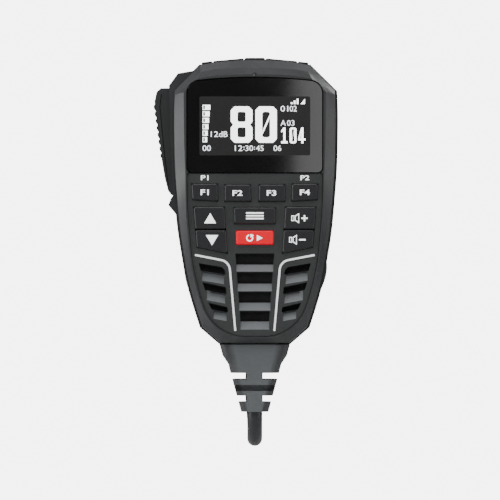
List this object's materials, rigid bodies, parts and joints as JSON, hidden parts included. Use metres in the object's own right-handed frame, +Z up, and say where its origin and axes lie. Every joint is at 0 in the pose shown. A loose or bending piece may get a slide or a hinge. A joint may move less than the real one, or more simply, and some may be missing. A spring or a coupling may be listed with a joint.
{
  "type": "hand microphone",
  "caption": "Hand microphone with a display, a keypad, a loudspeaker grille, a side push-to-talk bar and a cord hanked behind it on its hang-up button.",
  "frame": {"origin": "centre of the head of the hang-up button on the microphone's back", "axes": "+Z up along the body, +Y out of the back along the hang-up button, +X to the right as the user faces the display"},
  "size_m": [0.0636, 0.0534, 0.1344],
  "materials": {
    "casing_plastic": "fine moulded texture, satin",
    "rear_plastic": "fine moulded texture",
    "panel_plastic": "fine moulded texture, matt",
    "accent_paint": "pale inlay",
    "lens_black": "polished, black from behind",
    "adhesive_foam": "foam",
    "display_glass": "display module",
    "holder_plastic": "moulded",
    "flex_film": "polyimide film",
    "circuit_board": "solder resist",
    "steel": "plated",
    "tinned_can": "tinned sheet",
    "chip_epoxy": "moulded epoxy",
    "button_steel": "turned and plated",
    "black_rubber": "matt",
    "grip_rubber": "matt, ribbed",
    "lever_plastic": "moulded",
    "grille_cloth": "acoustic cloth",
    "paper_cone": "pressed cone",
    "relief_rubber": "soft moulding, satin",
    "cord_jacket": "smooth jacket",
    "hook_loop": "hook-and-loop tape",
    "plug_plastic": "clear moulding",
    "contact_gold": "gold plated",
    "key_plastic": "fine moulded texture",
    "key_red": "satin"
  },
  "bodies": {
    "root": {"accent_trims": "accent_paint", "board_screws": "steel", "clamp_screws": "steel", "control_chips": "chip_epoxy", "cord_clamp": "holder_plastic", "cord_hank": "cord_jacket", "cord_lead": "cord_jacket", "cord_tail": "cord_jacket", "display_flex": "flex_film", "display_holder": "holder_plastic", "display_lens": "lens_black", "dome_switches": "steel", "face_panel": "panel_plastic", "front_shell": "casing_plastic", "hang_button": "button_steel", "hang_button_screw": "steel", "hank_tie": "hook_loop", "inner_lead": "cord_jacket", "keypad_membrane": "black_rubber", "lead_connector": "holder_plastic", "lens_gasket": "adhesive_foam", "main_board": "circuit_board", "mic_boot": "black_rubber", "mic_capsule": "tinned_can", "oled_panel": "display_glass", "perimeter_seal": "black_rubber", "plug_body": "plug_plastic", "plug_boot": "cord_jacket", "plug_contacts": "contact_gold", "ptt_pin": "steel", "ptt_switch": "holder_plastic", "rear_cover": "rear_plastic", "rear_screws": "steel", "shield_can": "tinned_can", "speaker_bracket": "holder_plastic", "speaker_cloth": "grille_cloth", "speaker_cone": "paper_cone", "speaker_frame": "holder_plastic", "speaker_gasket": "adhesive_foam", "speaker_magnet": "steel", "strain_relief": "relief_rubber", "top_bumper": "black_rubber"},
    "ptt": {"ptt_lever": "lever_plastic", "ptt_grip": "grip_rubber"},
    "key_down_body": {"key_down": "key_plastic"},
    "key_f1_body": {"key_f1": "key_plastic"},
    "key_f2_body": {"key_f2": "key_plastic"},
    "key_f3_body": {"key_f3": "key_plastic"},
    "key_f4_body": {"key_f4": "key_plastic"},
    "key_menu_body": {"key_menu": "key_plastic"},
    "key_replay_body": {"key_replay": "key_red"},
    "key_up_body": {"key_up": "key_plastic"},
    "key_volume_down_body": {"key_volume_down": "key_plastic"},
    "key_volume_up_body": {"key_volume_up": "key_plastic"}
  },
  "joints": [
    {"name": "ptt_press", "type": "hinge", "parent": "root", "child": "ptt", "pos_m": [-0.0274, -0.012, -0.0155], "axis": [0, 1, 0], "range_deg": [0, 3], "stiffness_Nm_per_rad": 0.3},
    {"name": "key_down_press", "type": "slide", "parent": "root", "child": "key_down_body", "axis": [0, 1, 0], "range_m": [0, 0.0007], "stiffness_N_per_m": 300},
    {"name": "key_f1_press", "type": "slide", "parent": "root", "child": "key_f1_body", "axis": [0, 1, 0], "range_m": [0, 0.0007], "stiffness_N_per_m": 300},
    {"name": "key_f2_press", "type": "slide", "parent": "root", "child": "key_f2_body", "axis": [0, 1, 0], "range_m": [0, 0.0007], "stiffness_N_per_m": 300},
    {"name": "key_f3_press", "type": "slide", "parent": "root", "child": "key_f3_body", "axis": [0, 1, 0], "range_m": [0, 0.0007], "stiffness_N_per_m": 300},
    {"name": "key_f4_press", "type": "slide", "parent": "root", "child": "key_f4_body", "axis": [0, 1, 0], "range_m": [0, 0.0007], "stiffness_N_per_m": 300},
    {"name": "key_menu_press", "type": "slide", "parent": "root", "child": "key_menu_body", "axis": [0, 1, 0], "range_m": [0, 0.0007], "stiffness_N_per_m": 300},
    {"name": "key_replay_press", "type": "slide", "parent": "root", "child": "key_replay_body", "axis": [0, 1, 0], "range_m": [0, 0.0007], "stiffness_N_per_m": 300},
    {"name": "key_up_press", "type": "slide", "parent": "root", "child": "key_up_body", "axis": [0, 1, 0], "range_m": [0, 0.0007], "stiffness_N_per_m": 300},
    {"name": "key_volume_down_press", "type": "slide", "parent": "root", "child": "key_volume_down_body", "axis": [0, 1, 0], "range_m": [0, 0.0007], "stiffness_N_per_m": 300},
    {"name": "key_volume_up_press", "type": "slide", "parent": "root", "child": "key_volume_up_body", "axis": [0, 1, 0], "range_m": [0, 0.0007], "stiffness_N_per_m": 300}
  ]
}
